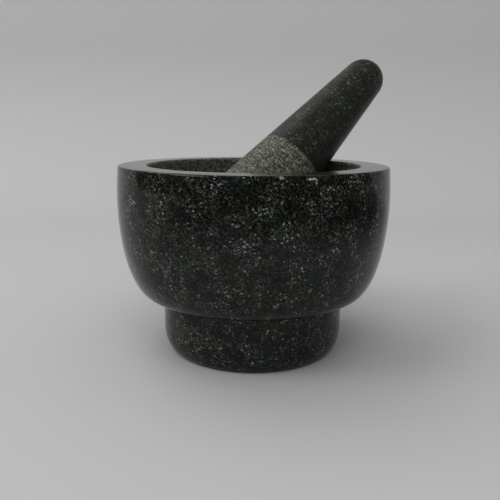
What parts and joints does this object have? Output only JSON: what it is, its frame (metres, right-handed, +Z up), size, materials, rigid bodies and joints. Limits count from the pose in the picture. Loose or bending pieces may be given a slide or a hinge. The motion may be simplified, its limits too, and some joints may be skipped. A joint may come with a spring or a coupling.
{
  "type": "mortar and pestle",
  "caption": "Round stone bowl on a plain round foot, with a tapered pestle leaning in it, for crushing and grinding spices, herbs and sauces by hand.",
  "frame": {"origin": "centre of the foot's flat underside, on the surface the mortar stands on", "axes": "+Z up along the bowl's axis, +X to the side the pestle mostly leans towards, +Y to the back"},
  "size_m": [0.1584, 0.1524, 0.1685],
  "materials": {
    "mortar_granite": "polished near-black granite with fine light grey flecks; the hollow is honed",
    "pestle_granite": "polished near-black granite handle, honed lighter grey-green working half"
  },
  "bodies": {
    "mortar": {"mortar": "mortar_granite"},
    "pestle": {"pestle": "pestle_granite"}
  },
  "joints": [
    {"name": "pestle_lift", "type": "slide", "parent": "mortar", "child": "pestle", "axis": [0, 0, 1], "range_m": [0, 0.12]}
  ]
}
